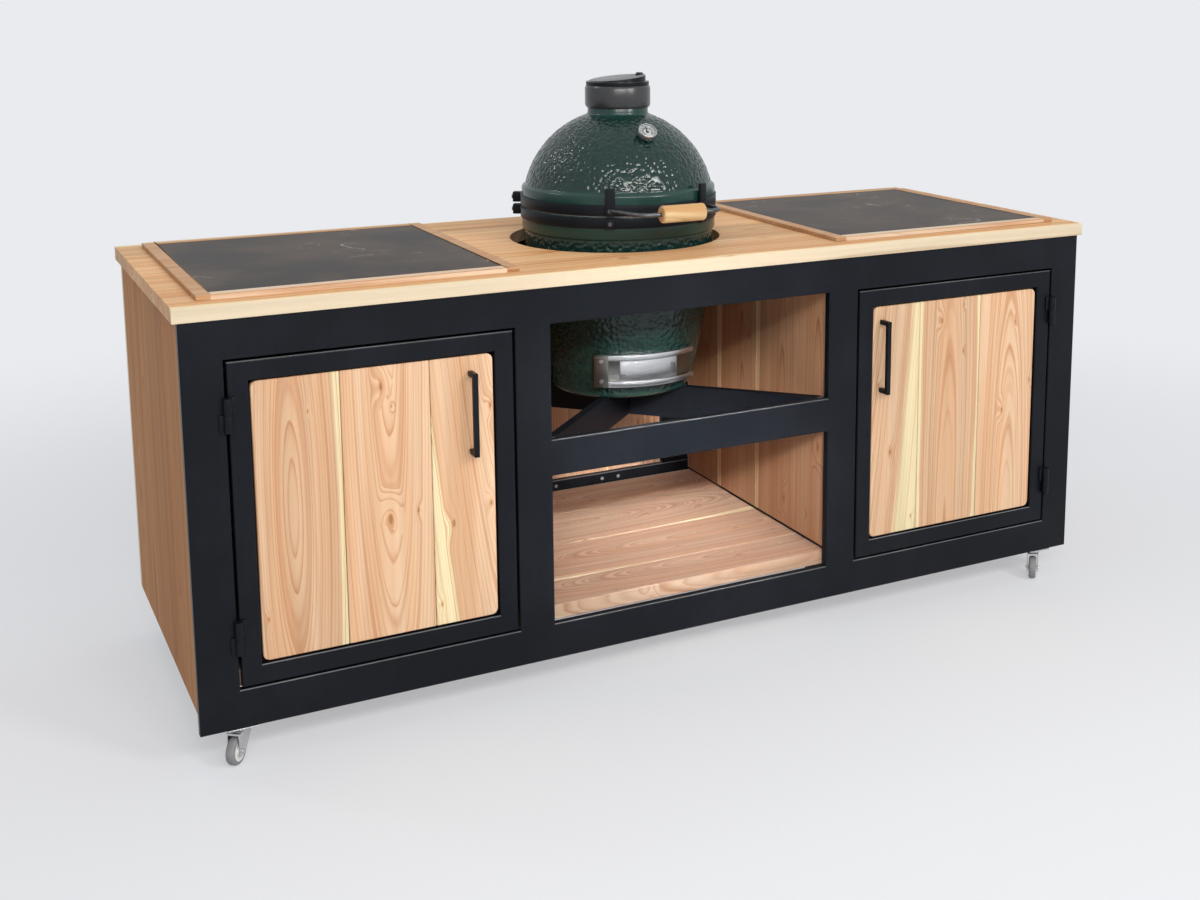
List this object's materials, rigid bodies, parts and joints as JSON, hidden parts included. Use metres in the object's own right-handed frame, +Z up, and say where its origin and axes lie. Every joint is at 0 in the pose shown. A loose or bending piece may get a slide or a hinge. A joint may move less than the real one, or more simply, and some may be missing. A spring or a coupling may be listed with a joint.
{
  "type": "outdoor kitchen",
  "caption": "Rolling outdoor kitchen: black steel frame with boarded doors, plank worktop with stone slabs, and a ceramic cooker standing in an open middle bay.",
  "frame": {"origin": "on the ground under the middle of the whole kitchen's box", "axes": "+Z up, front with the doors towards -Y, +X to the right seen from the front"},
  "size_m": [2.22, 0.805, 1.3286],
  "materials": {
    "black_steel": "satin powder coat",
    "board_wood": "oiled softwood",
    "worktop_wood": "oiled softwood",
    "stone": "satin, veined",
    "zinc": "zinc plated",
    "grey_tyre": "matte",
    "green_glaze": "dimpled gloss glaze",
    "fire_clay": "unglazed",
    "cast_iron": "painted",
    "stainless": "brushed",
    "needle_red": "matte",
    "felt": "felt",
    "grip_wood": "lacquered"
  },
  "bodies": {
    "cabinet": {"front_bottom_rail": "black_steel", "front_top_rail": "black_steel", "front_stiles": "black_steel", "front_mullions": "black_steel", "front_mid_rail": "black_steel", "rear_frame": "black_steel", "depth_rails": "black_steel", "cooker_cross": "black_steel", "hinge_barrels": "black_steel", "door_catches": "black_steel", "base_band": "black_steel", "hinge_bracket": "black_steel", "left_side_boards": "board_wood", "right_side_boards": "board_wood", "bay_wall_boards": "board_wood", "back_boards": "board_wood", "floor_boards": "board_wood", "worktop_planks": "worktop_wood", "slab_borders": "worktop_wood", "left_slab": "stone", "right_slab": "stone", "back_screws": "zinc", "caster_plates": "zinc", "cooker_base": "green_glaze", "cooker_firebox": "fire_clay", "cooker_fire_ring": "fire_clay", "cooker_fire_grate": "cast_iron", "cooking_grid": "stainless", "draft_frame": "stainless", "cooker_gasket": "felt"},
    "left_door": {"left_door_frame": "black_steel", "left_door_boards": "board_wood", "left_door_pull": "black_steel", "left_door_straps": "black_steel", "left_door_hinges": "black_steel"},
    "right_door": {"right_door_frame": "black_steel", "right_door_boards": "board_wood", "right_door_pull": "black_steel", "right_door_straps": "black_steel", "right_door_hinges": "black_steel"},
    "lid": {"cooker_lid": "green_glaze", "lid_band": "black_steel", "lid_hinge_arm": "black_steel", "handle_rod": "black_steel", "handle_grip": "grip_wood", "thermometer_case": "stainless", "vent_cap": "cast_iron"},
    "vent_lid": {"vent_lid": "cast_iron"},
    "draft_door": {"draft_door": "stainless"},
    "needle": {"thermometer_needle": "needle_red"},
    "swivel_front_left": {"caster_fork_front_left": "zinc"},
    "wheel_front_left": {"caster_wheel_front_left": "grey_tyre"},
    "swivel_front_right": {"caster_fork_front_right": "zinc"},
    "wheel_front_right": {"caster_wheel_front_right": "grey_tyre"},
    "swivel_rear_left": {"caster_fork_rear_left": "zinc"},
    "wheel_rear_left": {"caster_wheel_rear_left": "grey_tyre"},
    "swivel_rear_right": {"caster_fork_rear_right": "zinc"},
    "wheel_rear_right": {"caster_wheel_rear_right": "grey_tyre"}
  },
  "joints": [
    {"name": "left_door_hinge", "type": "hinge", "parent": "cabinet", "child": "left_door", "pos_m": [-1.0175, -0.3813, 0.4955], "axis": [0, 0, -1], "range_deg": [0, 115]},
    {"name": "right_door_hinge", "type": "hinge", "parent": "cabinet", "child": "right_door", "pos_m": [1.0175, -0.3813, 0.4955], "axis": [0, 0, 1], "range_deg": [0, 115]},
    {"name": "lid_hinge", "type": "hinge", "parent": "cabinet", "child": "lid", "pos_m": [-0.01, 0.2775, 1.022], "axis": [-1, 0, 0], "range_deg": [0, 70]},
    {"name": "vent_swing", "type": "hinge", "parent": "lid", "child": "vent_lid", "pos_m": [0.048, 0.0135, 1.3128], "axis": [0, 0, 1], "range_deg": [0, 150]},
    {"name": "draft_slide", "type": "hinge", "parent": "cabinet", "child": "draft_door", "pos_m": [-0.01, 0.0135, 0.648], "axis": [0, 0, 1], "range_deg": [0, 40]},
    {"name": "needle_turn", "type": "hinge", "parent": "lid", "child": "needle", "pos_m": [-0.01, -0.14829, 1.20209], "axis": [0, 0.6521, -0.7581], "range_deg": [-135, 135]},
    {"name": "swivel_front_left", "type": "hinge", "parent": "cabinet", "child": "swivel_front_left", "pos_m": [-1.018, -0.3425, 0.066], "axis": [0, 0, 1], "continuous": true},
    {"name": "roll_front_left", "type": "hinge", "parent": "swivel_front_left", "child": "wheel_front_left", "pos_m": [-1.03214, -0.35935, 0.029], "axis": [0.766, -0.6428, 0], "continuous": true},
    {"name": "swivel_front_right", "type": "hinge", "parent": "cabinet", "child": "swivel_front_right", "pos_m": [1.018, -0.3425, 0.066], "axis": [0, 0, 1], "continuous": true},
    {"name": "roll_front_right", "type": "hinge", "parent": "swivel_front_right", "child": "wheel_front_right", "pos_m": [1.00386, -0.35935, 0.029], "axis": [0.766, -0.6428, 0], "continuous": true},
    {"name": "swivel_rear_left", "type": "hinge", "parent": "cabinet", "child": "swivel_rear_left", "pos_m": [-1.018, 0.3425, 0.066], "axis": [0, 0, 1], "continuous": true},
    {"name": "roll_rear_left", "type": "hinge", "parent": "swivel_rear_left", "child": "wheel_rear_left", "pos_m": [-1.03214, 0.32565, 0.029], "axis": [0.766, -0.6428, 0], "continuous": true},
    {"name": "swivel_rear_right", "type": "hinge", "parent": "cabinet", "child": "swivel_rear_right", "pos_m": [1.018, 0.3425, 0.066], "axis": [0, 0, 1], "continuous": true},
    {"name": "roll_rear_right", "type": "hinge", "parent": "swivel_rear_right", "child": "wheel_rear_right", "pos_m": [1.00386, 0.32565, 0.029], "axis": [0.766, -0.6428, 0], "continuous": true}
  ]
}
